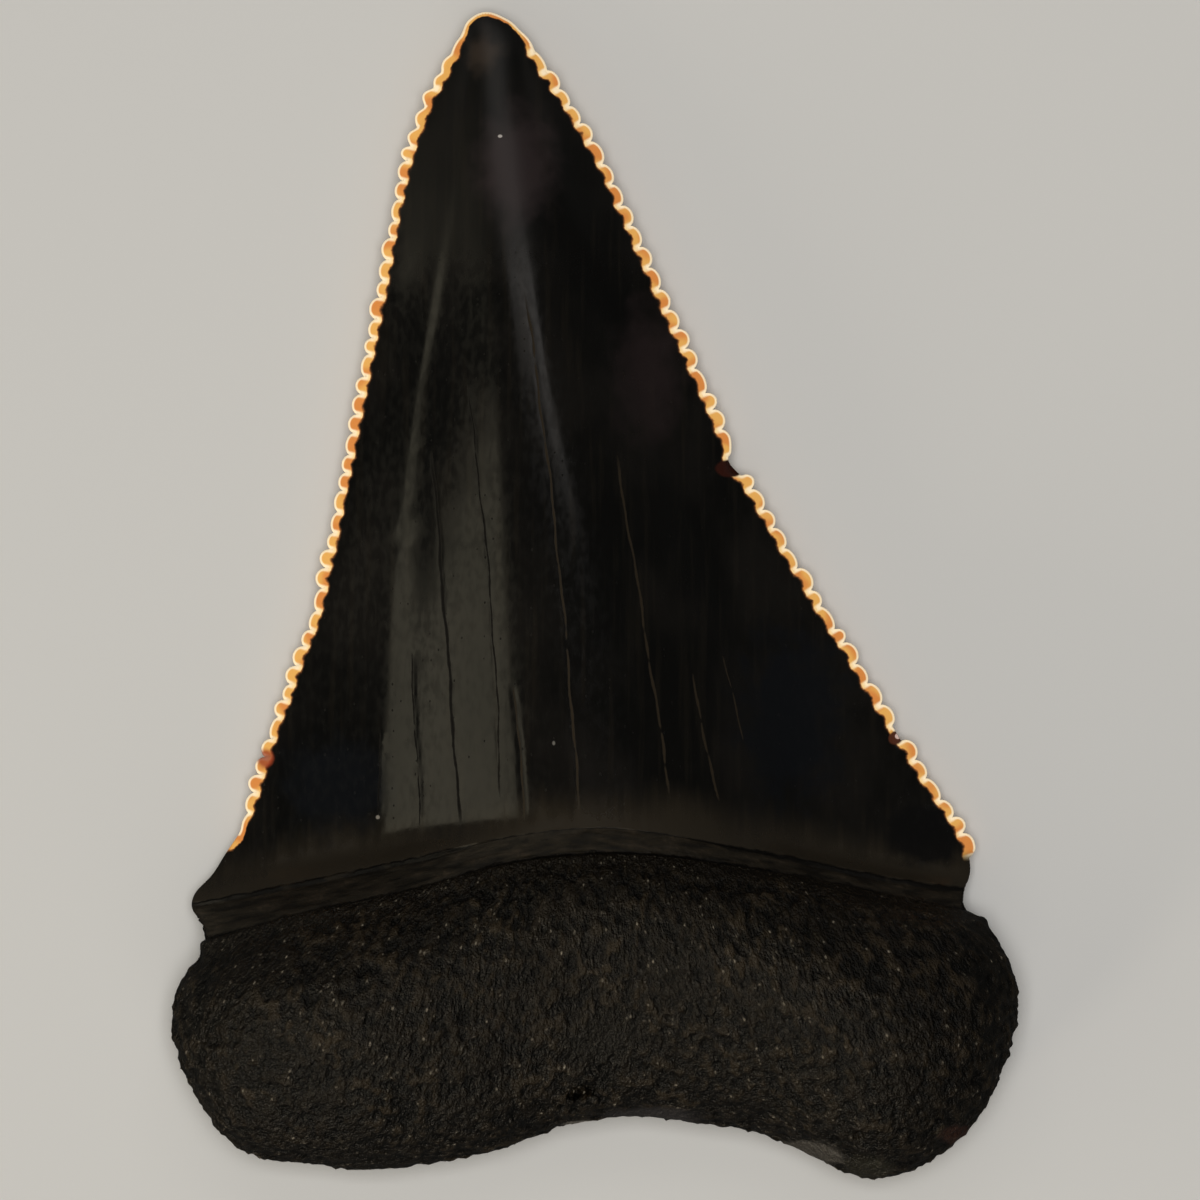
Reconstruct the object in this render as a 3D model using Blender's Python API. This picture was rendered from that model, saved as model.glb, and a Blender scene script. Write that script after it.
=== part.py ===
"""Fossil great white shark tooth, one solid, lying on its outer face.

Metres, +Z up. The tip of the crown points to +Y and the two root lobes to -Y.
The inner face, the rounded one that a shark turns to its mouth, looks up.
The tooth starts as a plain slab whose vertices count columns (across), rows
(from tip to root) and sides (outer face to inner face). Each vertex is then
carried to its place on the tooth, and the nutrient hole is cut at the end.
"""
import math

import bmesh
import bpy
import numpy as np

MM = 0.001

# Cells of the slab. Each cutting edge has one row for each serration.
COLUMNS = 26
SERRATIONS = 42
HEEL_ROWS = 5
BAND_ROWS = 4
ROOT_ROWS = 15
CROWN_ROWS = SERRATIONS + HEEL_ROWS
ROOT_START = CROWN_ROWS + BAND_ROWS
ROWS = ROOT_START + ROOT_ROWS
SERRATION_CUTS = 4

# The outline seen from above, clockwise, in millimetres. Each stretch ends
# where the next one begins, and all of them make one smooth closed curve.
OUTLINE = (
    ("tip", ((-6.75, 28.1), (-6.35, 28.9), (-5.55, 29.33), (-4.65, 29.1))),
    ("right edge", ((-3.75, 28.4), (-2.2, 26.1), (0.3, 21.8), (3.25, 15.25), (6.8, 7.4),
                    (8.6, 4.0), (12.6, -2.6), (16.55, -9.0), (18.35, -11.7))),
    ("right heel", ((18.75, -13.0), (18.8, -13.8))),
    ("right neck", ((18.55, -14.6), (18.5, -15.3), (18.8, -15.8))),
    ("right flank", ((19.4, -15.8), (19.95, -16.4), (20.8, -17.9), (21.3, -19.6),
                     (21.1, -21.8))),
    ("lobes", ((20.3, -24.3), (19.4, -26.3), (17.8, -27.5), (16.2, -28.7), (14.1, -29.3),
               (12.6, -28.8), (10.8, -28.2), (8.9, -27.0), (6.0, -26.5), (2.8, -26.1),
               (-0.6, -26.3), (-4.9, -27.75), (-8.0, -28.35), (-12.2, -28.75),
               (-14.8, -28.35), (-17.2, -28.1), (-18.7, -27.0))),
    ("left flank", ((-20.3, -24.6), (-21.1, -22.6), (-21.35, -21.0), (-20.85, -19.0),
                    (-20.2, -18.2))),
    ("left neck", ((-19.65, -17.1), (-19.8, -16.3))),
    ("left heel", ((-20.35, -15.4), (-20.1, -14.6), (-19.3, -14.1), (-18.55, -12.75))),
    ("left edge", ((-17.75, -11.7), (-17.05, -9.7), (-15.95, -6.2), (-14.65, -2.6),
                   (-13.7, 0.35), (-12.0, 8.75), (-10.65, 15.6), (-9.4, 21.9),
                   (-8.2, 25.2))),
)

# Two lines across the inner face, left to right: the foot of the enamel, and
# the line where the smooth neck band gives way to the porous root.
ENAMEL_FOOT = ((-20.35, -15.4), (-14.7, -14.2), (-9.7, -13.1), (-4.7, -11.9), (-1.0, -11.4),
               (2.3, -11.5), (8.3, -12.6), (14.3, -13.9), (18.55, -14.6))
ROOT_LINE = ((-19.65, -17.1), (-14.7, -15.6), (-9.7, -14.5), (-4.7, -13.1), (-1.0, -12.6),
             (3.0, -12.6), (8.3, -13.4), (14.3, -14.6), (19.4, -15.8))

# Height along the middle of the crown's inner face, in millimetres, from the
# tip to the foot of the enamel. The power says how soon it reaches its height.
CROWN_START, CROWN_TOP, CROWN_POWER = 2.15, 9.2, 1.65

# Height along the middle of the neck band and of the root: the share of the way
# down, and millimetres above the ground
MIDDLE_HEIGHTS = {
    "band": ((0.0, 9.15), (0.25, 8.75), (0.65, 8.8), (1.0, 8.95)),
    "root": ((0.0, 9.2), (0.08, 10.1), (0.2, 10.8), (0.38, 11.0), (0.6, 10.1), (0.8, 8.5),
             (0.93, 6.9), (1.0, 5.2)),
}

# Rim of the crown (a cutting edge) and of the root (a blunt one), in millimetres
EDGE_RADIUS, EDGE_HALF, EDGE_LEVEL = 0.06, 0.13, 1.4
BLUNT_RADIUS, BLUNT_HALF, BLUNT_LEVEL = 1.3, 1.9, 3.3
TIP_LIFT = 0.5
RIM_TURN = math.radians(60)

# The rim starts to turn blunt below the last serration, and takes this many rows
BLUNT_START = SERRATIONS + 2
BLUNT_ROWS = 11

# Cross-section of the crown's inner face: flat bevels beside a swelling. The
# swelling fades out over the given shares of the way down, counted from the
# foot, so that the tip is evenly convex.
BEVEL_COLUMNS = 5
BEVEL_SHARE = 0.2
BEVEL_RISE = 0.27
SWELLING_POWER = 1.8
SWELLING_TOP, SWELLING_FULL = 0.12, 0.4

# The lines where bevel and swelling meet, from the tip down, in millimetres,
# and the least and greatest share of the width that a bevel takes
BEVEL_LINES = {
    "left": ((-5.7, 28.0), (-6.1, 24.0), (-6.6, 20.5), (-7.1, 17.0), (-8.2, 9.8), (-9.1, 1.8),
             (-9.6, -5.0), (-9.9, -12.0), (-10.0, -16.0)),
    "right": ((-4.0, 28.0), (-3.4, 24.0), (-2.2, 20.5), (-0.9, 17.0), (0.9, 12.8), (3.0, 7.3),
              (5.3, 1.8), (7.4, -4.2), (9.7, -12.0), (10.8, -16.0)),
}
LEAST_BEVEL, GREATEST_BEVEL = 0.15, 0.34
BEVEL_TRIES = 5

# Cross-section of the root: nearly flat on top, a little lower towards the sides
ROOT_SQUARENESS = 5
ROOT_SHOULDER = 0.25

# The outer face sags below the rim by this share of the rim's height, first
# over its upper part, and meets the ground in a soft curve, in millimetres
OUTER_SAG = 1.35
CROWN_SQUARENESS, ROOT_SAG_SQUARENESS = 2, 4
SAG_ROWS = 0.5
SAG_END = 6
OUTER_SOFTNESS = 0.3

# Lobes of the root stand a little proud of the hollow between them, in
# millimetres. Places and widths are shares of the tooth's half width.
LOBE_RISE, LOBE_PLACE, LOBE_WIDTH = 0.7, 0.62, 0.22
HOLLOW_DEPTH, HOLLOW_WIDTH = 0.9, 0.3
LOBE_START, LOBE_END = 0.6, 4

# Serrations, with the uneven pitch and depth of real ones. A chip is a share
# of the usual depth for one serration, counted from the tip.
SERRATION_DEPTH = 0.33
PITCH_PLAY = 0.16
DEPTH_PLAY = 0.3
TIP_FADE = 4
CHIPS = {"right": {21: -0.9, 35: 0.1}, "left": {41: 0.4}}
PITCH_SEEDS = {"left": 3, "right": 8}
DEPTH_SEEDS = {"left": 5, "right": 6}

# Nutrient hole above the arch of the root: an egg-shaped pit
FORAMEN_PLACE = (-0.65, -24.75, 7.6)
FORAMEN_RADII = (0.9, 0.6, 1.6)
FORAMEN_TILT = math.radians(18)

CHARCOAL = (0.014, 0.012, 0.010, 1.0)


def clear_scene():
    for thing in list(bpy.data.objects):
        bpy.data.objects.remove(thing)


def ease(x):
    x = min(max(x, 0.0), 1.0)
    return x * x * (3 - 2 * x)


def mix(a, b, share):
    return a + (b - a) * share


def smooth_curve(points, steps=16):
    """Points along a Catmull-Rom curve through all of points but the first and last."""
    found = []
    for a, b, c, d in zip(points, points[1:], points[2:], points[3:]):
        for s in np.linspace(0, 1, steps, endpoint=False):
            line = 2 * b + (c - a) * s
            bend = (2 * a - 5 * b + 4 * c - d) * s**2 + (3 * b - a - 3 * c + d) * s**3
            found.append(0.5 * (line + bend))
    found.append(points[-2])
    return np.array(found)


def open_curve(points):
    points = np.array(points)
    before = 2 * points[0] - points[1]
    after = 2 * points[-1] - points[-2]
    return smooth_curve(np.vstack([before, points, after]))


class Path:
    """A curve read by the share of its length, with the direction away from the tooth."""

    def __init__(self, points, outward=None):
        steps = np.linalg.norm(np.diff(points, axis=0), axis=1)
        self.shares = np.concatenate([[0], np.cumsum(steps)]) / steps.sum()
        self.points = points
        self.outward = outward

    def read(self, values, share):
        return np.array([np.interp(share, self.shares, v) for v in values.T])

    def at(self, share):
        return self.read(self.points, share)

    def normal(self, share):
        found = self.read(self.outward, share)
        return found / np.linalg.norm(found)


def outline_paths():
    """The stretches of the outline by name, each a Path that runs down or to the right."""
    knots = np.array([p for _, stretch in OUTLINE for p in stretch]) * MM
    ring = smooth_curve(np.vstack([knots[-1:], knots, knots[:2]]))
    along = np.roll(ring[:-1], -1, axis=0) - np.roll(ring[:-1], 1, axis=0)
    outward = np.column_stack([-along[:, 1], along[:, 0]])
    outward = np.vstack([outward, outward[:1]])
    steps = (len(ring) - 1) // len(knots)
    paths = {}
    start = 0
    for name, stretch in OUTLINE:
        end = start + len(stretch) * steps
        points, away = ring[start:end + 1], outward[start:end + 1]
        if name == "lobes" or name.startswith("left"):
            points, away = points[::-1], away[::-1]
        paths[name] = Path(points, away)
        start = end
    return paths


def uneven_pitch(hand):
    """Where each serration starts, as a share of the length of its cutting edge."""
    draw = np.random.RandomState(PITCH_SEEDS[hand])
    starts = np.arange(SERRATIONS + 1.0)
    starts[1:-1] += draw.uniform(-PITCH_PLAY, PITCH_PLAY, SERRATIONS - 1)
    return starts / SERRATIONS


def uneven_depth(hand):
    draw = np.random.RandomState(DEPTH_SEEDS[hand])
    depths = 1 + draw.uniform(-DEPTH_PLAY, DEPTH_PLAY, SERRATIONS)
    depths[:TIP_FADE] *= np.arange(1, TIP_FADE + 1) / TIP_FADE
    for index, share in CHIPS[hand].items():
        depths[index] = share
    return depths * SERRATION_DEPTH * MM


HANDS = ("left", "right")
PATHS = outline_paths()
FOOT = Path(open_curve(ENAMEL_FOOT) * MM)
LINE = Path(open_curve(ROOT_LINE) * MM)
HEIGHTS = {name: open_curve(points) for name, points in MIDDLE_HEIGHTS.items()}
BEVELS = {hand: open_curve(points)[::-1] for hand, points in BEVEL_LINES.items()}
PITCHES = {hand: uneven_pitch(hand) for hand in HANDS}
DEPTHS = {hand: uneven_depth(hand) for hand in HANDS}


def region(row):
    """The region that a row is in, and the share of the way down that region."""
    if row <= CROWN_ROWS:
        return "crown", row / CROWN_ROWS
    if row <= ROOT_START:
        return "band", (row - CROWN_ROWS) / BAND_ROWS
    return "root", (row - ROOT_START) / ROOT_ROWS


def beside(hand, row):
    """The stretch of the outline beside a row, and the share of the way down it."""
    if row <= SERRATIONS:
        share = np.interp(row, np.arange(SERRATIONS + 1), PITCHES[hand])
        return PATHS[hand + " edge"], share
    if row <= CROWN_ROWS:
        return PATHS[hand + " heel"], (row - SERRATIONS) / HEEL_ROWS
    if row <= ROOT_START:
        return PATHS[hand + " neck"], (row - CROWN_ROWS) / BAND_ROWS
    return PATHS[hand + " flank"], (row - ROOT_START) / ROOT_ROWS


def bluntness(row):
    """0 along the cutting edges, rising over the neck to 1 round the root."""
    return ease((row - BLUNT_START) / BLUNT_ROWS)


def rim_radius(row):
    return mix(EDGE_RADIUS, BLUNT_RADIUS, bluntness(row)) * MM


def rim_levels(row):
    """Height of the rim's middle, and how far the faces' borders are above and below it."""
    blunt = bluntness(row)
    level = mix(EDGE_LEVEL, BLUNT_LEVEL, blunt) + TIP_LIFT * (1 - ease(row / SERRATIONS))
    return level * MM, mix(EDGE_HALF, BLUNT_HALF, blunt) * MM


def border(path, share, row):
    """A border point of a face, which stops short of the outline by the rim's rounding."""
    short = rim_radius(row) * (1 - math.cos(RIM_TURN))
    return path.at(share) - path.normal(share) * short


def line_above(name, u):
    if name == "crown":
        return border(PATHS["tip"], u, 0)
    return (FOOT if name == "band" else LINE).at(u)


def line_below(name, u):
    if name == "root":
        return border(PATHS["lobes"], u, ROWS)
    return (FOOT if name == "crown" else LINE).at(u)


def bow(line, name, u):
    """How far a line across the tooth bows away from the straight line between its ends."""
    return line(name, u) - mix(line(name, 0), line(name, 1), u)


def plan(u, row):
    """A point of a face seen from above, stretched between the four lines round its region."""
    name, t = region(row)
    left, right = (border(*beside(hand, row), row) for hand in HANDS)
    return mix(left, right, u) + mix(bow(line_above, name, u), bow(line_below, name, u), t)


def column_share(column, left=BEVEL_SHARE, right=BEVEL_SHARE):
    """The share of the width to the left of a column, with bevels of the given shares."""
    stops = (0, BEVEL_COLUMNS, COLUMNS - BEVEL_COLUMNS, COLUMNS)
    return np.interp(column, stops, (0, left, 1 - right, 1))


def bevel_share(hand, row):
    """The share of a row's width from the edge to the line where the bevel ends."""
    crown_row = min(row, CROWN_ROWS)
    other = HANDS[1 - HANDS.index(hand)]
    near, far = (border(*beside(name, crown_row), crown_row) / MM for name in (hand, other))
    share = BEVEL_SHARE
    for _ in range(BEVEL_TRIES):
        height = mix(near, far, share)[1]
        at = np.interp(height, BEVELS[hand][:, 1], BEVELS[hand][:, 0])
        share = min(max((at - near[0]) / (far[0] - near[0]), LEAST_BEVEL), GREATEST_BEVEL)
    return mix(share, BEVEL_SHARE, bluntness(row))


def even_row(row, u):
    """The row, whole or not, whose height belongs at this place between the uneven serrations."""
    if row > SERRATIONS:
        return row
    left, right = (np.interp(row, np.arange(SERRATIONS + 1), PITCHES[hand]) for hand in HANDS)
    return mix(left, right, u) * SERRATIONS


def crown_section(u, t):
    """Rise of the crown's inner face across its width, 0 at the edges and 1 in the middle."""
    from_edge = min(u, 1 - u)
    bevel = BEVEL_RISE * min(from_edge / BEVEL_SHARE, 1)
    inward = max(from_edge - BEVEL_SHARE, 0) / (0.5 - BEVEL_SHARE)
    swollen = bevel + (1 - BEVEL_RISE) * (1 - (1 - inward) ** SWELLING_POWER)
    convex = 1 - (1 - 2 * from_edge) ** 2
    return mix(convex, swollen, ease((t - SWELLING_TOP) / (SWELLING_FULL - SWELLING_TOP)))


def root_section(u):
    off_centre = abs(2 * u - 1)
    return (1 - ROOT_SHOULDER * off_centre**2) * math.sqrt(1 - off_centre**ROOT_SQUARENESS)


def lobes(u, t):
    """The two lobes and the shallow hollow between them, over the lower root."""
    off_centre = abs(2 * u - 1)
    low = ease(t / LOBE_START) * (1 - t**LOBE_END)
    lobe = LOBE_RISE * math.exp(-((off_centre - LOBE_PLACE) / LOBE_WIDTH) ** 2)
    hollow = HOLLOW_DEPTH * math.exp(-(off_centre / HOLLOW_WIDTH) ** 2)
    return (lobe - hollow) * low * MM


def middle_height(name, t):
    if name == "crown":
        return mix(CROWN_TOP, CROWN_START, (1 - t) ** CROWN_POWER) * MM
    return np.interp(t, *HEIGHTS[name].T) * MM


def inner_height(u, row):
    name, t = region(row)
    level, half = rim_levels(row)
    start = level + half * math.sin(RIM_TURN)
    middle = middle_height(name, t)
    section = mix(crown_section(u, t if name == "crown" else 1), root_section(u), bluntness(row))
    height = start + (middle - start) * section
    return height + lobes(u, t) if name == "root" else height


def outer_height(u, row):
    """The outer face is nearly flat, and its middle lies on the ground."""
    name, t = region(row)
    level, half = rim_levels(row)
    start = level - half * math.sin(RIM_TURN)
    off_centre = abs(2 * u - 1)
    squareness = mix(CROWN_SQUARENESS, ROOT_SAG_SQUARENESS, bluntness(row))
    sag = OUTER_SAG * start * (1 - off_centre**squareness)
    if name == "crown":
        sag *= ease(t / SAG_ROWS)
    if name == "root":
        sag *= 1 - t**SAG_END
    height = max(start - sag, 0)
    return height**2 / (height + OUTER_SOFTNESS * MM)


def serration(hand, row):
    """How far a cutting edge stands out at a row."""
    if not 0 < row < SERRATIONS:
        return 0.0
    index = math.floor(row)
    return DEPTHS[hand][index] * math.sin(math.pi * (row - index))


def on_rim(path, share, row, side, extra=0.0):
    """A vertex on the rounded rim, which joins the outer face to the inner one."""
    turn = (2 * side - 1) * RIM_TURN
    level, half = rim_levels(row)
    short = rim_radius(row) * (1 - math.cos(turn))
    x, y = path.at(share) + path.normal(share) * (extra - short)
    return x, y, level + half * math.sin(turn)


def place(column, row, side):
    """Where a vertex of the slab goes on the tooth."""
    if column in (0, COLUMNS):
        hand = "left" if column == 0 else "right"
        return on_rim(*beside(hand, row), row, side, serration(hand, row))
    u = column_share(column)
    if row in (0, ROWS):
        return on_rim(PATHS["lobes" if row else "tip"], u, row, side)
    across = column_share(column, *(bevel_share(hand, row) for hand in HANDS))
    x, y = plan(across, row)
    height = inner_height if side == 1 else outer_height
    return x, y, height(u, even_row(row, across))


def on_cutting_edge(edge):
    a, b = (vert.co for vert in edge.verts)
    return a.x == b.x and a.x in (0, COLUMNS) and a.y != b.y and max(a.y, b.y) <= SERRATIONS


def slab():
    """The slab, with finer steps along the cutting edges for the serrations."""
    bm = bmesh.new()
    bmesh.ops.create_grid(bm, x_segments=COLUMNS, y_segments=ROWS, size=0.5)
    for vert in bm.verts:
        vert.co = (round((vert.co.x + 0.5) * COLUMNS), round((0.5 - vert.co.y) * ROWS), 0)
    raised = bmesh.ops.extrude_face_region(bm, geom=bm.faces[:])["geom"]
    for vert in raised:
        if isinstance(vert, bmesh.types.BMVert):
            vert.co.z = 1
    upright = [e for e in bm.edges if e.verts[0].co.z != e.verts[1].co.z]
    bmesh.ops.subdivide_edges(bm, edges=upright, cuts=1, use_grid_fill=True)
    cutting = [e for e in bm.edges if on_cutting_edge(e)]
    bmesh.ops.subdivide_edges(bm, edges=cutting, cuts=SERRATION_CUTS, use_grid_fill=True)
    return bm


def mesh_from(bm, name):
    bmesh.ops.recalc_face_normals(bm, faces=bm.faces)
    mesh = bpy.data.meshes.new(name)
    bm.to_mesh(mesh)
    bm.free()
    return mesh


def centre_on_ground(bm):
    """Puts the middle of the tooth's box over the origin, and its lowest point at zero."""
    spots = np.array([vert.co for vert in bm.verts])
    low, high = spots.min(axis=0), spots.max(axis=0)
    shift = ((low[0] + high[0]) / 2, (low[1] + high[1]) / 2, low[2])
    bmesh.ops.translate(bm, verts=bm.verts, vec=[-s for s in shift])


def make_tooth():
    bm = slab()
    for vert in bm.verts:
        vert.co = place(*vert.co)
    centre_on_ground(bm)
    return bpy.data.objects.new("tooth", mesh_from(bm, "tooth"))


def make_foramen_cutter():
    bm = bmesh.new()
    bmesh.ops.create_uvsphere(bm, u_segments=14, v_segments=8, radius=MM)
    bmesh.ops.scale(bm, verts=bm.verts, vec=FORAMEN_RADII)
    cutter = bpy.data.objects.new("foramen_cutter", mesh_from(bm, "foramen_cutter"))
    cutter.location = [part * MM for part in FORAMEN_PLACE]
    cutter.rotation_euler.x = FORAMEN_TILT
    cutter.hide_render = True
    cutter.display_type = "WIRE"
    return cutter


def cut(target, cutter):
    boolean = target.modifiers.new("nutrient_hole", "BOOLEAN")
    boolean.operation = "DIFFERENCE"
    boolean.object = cutter


def fossil_finish():
    material = bpy.data.materials.new("fossil_tooth")
    material.use_nodes = True
    shader = material.node_tree.nodes["Principled BSDF"]
    shader.inputs["Base Color"].default_value = CHARCOAL
    shader.inputs["Roughness"].default_value = 0.35
    shader.inputs["Metallic"].default_value = 0.0
    return material


def collection(name):
    made = bpy.data.collections.new(name)
    bpy.context.scene.collection.children.link(made)
    return made


def main():
    clear_scene()
    parts = collection("fossil_shark_tooth")
    cutters = collection("cutters")
    tooth = make_tooth()
    tooth.data.materials.append(fossil_finish())
    tooth.data.shade_smooth()
    parts.objects.link(tooth)
    cutter = make_foramen_cutter()
    cutters.objects.link(cutter)
    cut(tooth, cutter)


main()
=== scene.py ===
# %% [markdown]
# # A fossil shark tooth, from the plain solid to the finished piece
#
# The tooth lies on its outer face, with the rounded inner face up and the tip
# away from us (+Y). The solid already has the right size, the right outline and
# every serration. This lesson takes a copy of that solid, smooths it, works the
# fine relief into it as a restorer would with small tools, measures a few
# distances on it, and builds one procedural finish out of node groups that read
# those distances.
#
# Every length below is in millimetres and is turned into metres by MM.

# %% Load the solid
import math

import bmesh
import bpy
import numpy as np
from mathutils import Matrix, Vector, kdtree, noise


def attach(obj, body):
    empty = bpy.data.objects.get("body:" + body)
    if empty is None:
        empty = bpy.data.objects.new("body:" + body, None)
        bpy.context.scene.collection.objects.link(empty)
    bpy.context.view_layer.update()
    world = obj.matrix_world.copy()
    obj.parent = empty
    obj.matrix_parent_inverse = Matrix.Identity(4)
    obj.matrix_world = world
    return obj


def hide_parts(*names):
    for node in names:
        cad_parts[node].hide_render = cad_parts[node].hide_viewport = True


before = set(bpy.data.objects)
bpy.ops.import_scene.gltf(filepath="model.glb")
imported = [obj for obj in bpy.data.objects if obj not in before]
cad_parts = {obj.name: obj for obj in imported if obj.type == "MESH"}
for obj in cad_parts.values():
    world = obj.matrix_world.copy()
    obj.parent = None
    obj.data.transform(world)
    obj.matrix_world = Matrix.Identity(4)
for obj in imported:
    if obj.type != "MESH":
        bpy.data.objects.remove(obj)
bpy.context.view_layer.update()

MM = 0.001

# %% [markdown]
# ## Camera
#
# The photo looks straight at the inner face. The tooth lies down here, so the
# camera looks straight down on it. A long lens keeps the outline free of
# perspective. One pixel of the 1200 pixel picture is 0.05 mm at the height of
# the tooth's rim, which gives the lens its distance.

# %% Camera
PICTURE_SIDE = 1200
PIXEL = 0.05
PICTURE_CENTRE = (0.27, -0.18)
RIM_HEIGHT = 2.2
LENS = 200
SENSOR = 36


def set_camera():
    camera = bpy.data.cameras.new("camera")
    camera.lens = LENS
    camera.sensor_width = SENSOR
    camera.clip_start = 0.01
    holder = bpy.data.objects.new("camera", camera)
    bpy.context.scene.collection.objects.link(holder)
    distance = PICTURE_SIDE * PIXEL / SENSOR * LENS
    holder.location = (PICTURE_CENTRE[0] * MM, PICTURE_CENTRE[1] * MM, (RIM_HEIGHT + distance) * MM)
    bpy.context.scene.camera = holder
    print("camera stands", round(distance), "mm above the rim")


set_camera()

# %% [markdown]
# ## Studio
#
# Glossy enamel shows the lights as shapes, so each light is placed by what it
# has to do on the tooth. A tall wall of light stands on the left: the left flank
# of the swelling mirrors it as one long pale strip, and the wall's top edge and
# far end are what ends the strip. A dim panel behind the tip gives the soft
# sheen near the top. The sky between them stays darker, which keeps the rest of
# the enamel nearly black. Area lights do this better than lamps with no size,
# because a point of light leaves only a point in the gloss. The pale floor and
# the lamp overhead light the tooth as well, but they would lie on the enamel as
# a grey veil and a white stripe, so neither of them is seen in reflections.

# %% Soft boxes, floor and surroundings
WORLD_GREY = (0.04, 0.039, 0.036)
FLOOR_GREY = (0.70, 0.69, 0.665)
FLOOR_ROUGH = 0.9
FLOOR_SIDE = 1600
FLOOR_GAP = 0.01


def panel(name, centre, turn, width, height, watts, colour=(1.0, 1.0, 1.0)):
    """An area light at a centre in millimetres, turned from facing down by the given degrees."""
    lamp = bpy.data.lights.new(name, "AREA")
    lamp.shape = "RECTANGLE"
    lamp.size, lamp.size_y = width * MM, height * MM
    lamp.energy = watts
    lamp.color = colour
    holder = bpy.data.objects.new(name, lamp)
    bpy.context.scene.collection.objects.link(holder)
    holder.location = Vector(centre) * MM
    holder.rotation_euler = [math.radians(angle) for angle in turn]
    return holder


def set_world():
    world = bpy.data.worlds.new("surroundings")
    world.use_nodes = True
    world.node_tree.nodes["Background"].inputs["Color"].default_value = (*WORLD_GREY, 1)
    bpy.context.scene.world = world


def lay_floor():
    bpy.ops.mesh.primitive_plane_add(size=FLOOR_SIDE * MM, location=(0, 0, -FLOOR_GAP * MM))
    floor = bpy.context.object
    floor.name = "floor"
    paint = bpy.data.materials.new("floor_paint")
    paint.use_nodes = True
    shader = paint.node_tree.nodes["Principled BSDF"]
    shader.inputs["Base Color"].default_value = (*FLOOR_GREY, 1)
    shader.inputs["Roughness"].default_value = FLOOR_ROUGH
    floor.data.materials.append(paint)
    floor.visible_glossy = False


set_world()
lay_floor()
panel("left_wall", centre=(-300, -97, 161), turn=(90, -16.7, -90), width=325, height=235,
      watts=0.175, colour=(1.0, 0.91, 0.66))
panel("tip_panel", centre=(-5, 253, 335), turn=(-37, 0, 0), width=350, height=194,
      watts=0.16, colour=(1.0, 0.95, 0.9))
panel("front_fill", centre=(60, -350, 290), turn=(50, 0, 10), width=400, height=350,
      watts=0.24, colour=(1.0, 0.93, 0.82))
panel("raking_light", centre=(-220, -250, 120), turn=(70, 0, -41), width=70, height=70,
      watts=0.16, colour=(1.0, 0.88, 0.7))
overhead = panel("overhead", centre=(0, 0, 600), turn=(0, 0, 0), width=300, height=300, watts=2.1)
overhead.visible_glossy = False
bpy.context.scene.view_settings.view_transform = "Standard"
print("studio is set")

# %% [markdown]
# ## A copy of the solid to work on
#
# The solid comes as loose triangles. Its copy is merged, and pairs of triangles
# become the quads that they were cut from, because a subdivision surface runs
# smoothly over quads.

# %% Copy, merge and quads
MERGE = 0.005
QUAD_ANGLE = math.radians(60)


def alone(piece):
    if bpy.context.mode != "OBJECT":
        bpy.ops.object.mode_set(mode="OBJECT")
    bpy.ops.object.select_all(action="DESELECT")
    piece.select_set(True)
    bpy.context.view_layer.objects.active = piece


def copy_of(node, name):
    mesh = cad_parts[node].data.copy()
    piece = bpy.data.objects.new(name, mesh)
    bpy.context.scene.collection.objects.link(piece)
    alone(piece)
    bpy.ops.object.mode_set(mode="EDIT")
    bpy.ops.mesh.select_all(action="SELECT")
    bpy.ops.mesh.remove_doubles(threshold=MERGE * MM)
    bpy.ops.mesh.tris_convert_to_quads(face_threshold=QUAD_ANGLE, shape_threshold=QUAD_ANGLE)
    bpy.ops.object.mode_set(mode="OBJECT")
    return piece


tooth = copy_of("tooth", "fossil_tooth")
print("quads and triangles:", len(tooth.data.polygons))

# %% [markdown]
# ## The two lines of the neck
#
# The enamel ends at its foot in a clean little step. Below it lies the neck
# band, a strip of bare smooth dentine, and below that the porous root begins at
# a wavy ledge. Both lines are drawn once, as smooth curves through a few points,
# and everything later asks how far a place lies above or below them.

# %% Enamel foot and root line
ENAMEL_FOOT = ((-20.35, -15.4), (-14.7, -14.2), (-9.7, -13.1), (-4.7, -11.9), (-1.0, -11.4),
               (2.3, -11.5), (8.3, -12.6), (14.3, -13.9), (18.55, -14.6))
ROOT_LINE = ((-19.65, -17.1), (-14.7, -15.6), (-9.7, -14.5), (-4.7, -13.1), (-1.0, -12.6),
             (3.0, -12.6), (8.3, -13.4), (14.3, -14.6), (19.4, -15.8))
LINE_STEPS = 16


def smooth_line(points):
    """A curve through all the points, with LINE_STEPS places between each two."""
    knots = np.array(points, dtype=float)
    knots = np.vstack([2 * knots[0] - knots[1], knots, 2 * knots[-1] - knots[-2]])
    line = []
    for a, b, c, d in zip(knots, knots[1:], knots[2:], knots[3:]):
        for t in np.arange(LINE_STEPS) / LINE_STEPS:
            line.append(0.5 * (2 * b + (c - a) * t + (2 * a - 5 * b + 4 * c - d) * t ** 2
                               + (3 * b - a - 3 * c + d) * t ** 3))
    return np.array([*line, knots[-2]])


def distance_to(line, spots):
    """Distance in plan from each spot to a line of points, in millimetres."""
    nearest = np.full(len(spots), np.inf)
    for a, b in zip(line, line[1:]):
        along = b - a
        share = np.clip(((spots[:, :2] - a) @ along) / (along @ along), 0, 1)
        gaps = np.linalg.norm(spots[:, :2] - a - share[:, None] * along, axis=1)
        nearest = np.minimum(nearest, gaps)
    return nearest


def above(line, spots):
    """Distance from the line, positive on the tip side and negative on the root side."""
    over = spots[:, 1] > np.interp(spots[:, 0], line[:, 0], line[:, 1])
    return np.where(over, 1, -1) * distance_to(line, spots)


foot_line, root_line = smooth_line(ENAMEL_FOOT), smooth_line(ROOT_LINE)
print("points on the enamel foot:", len(foot_line))

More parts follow.
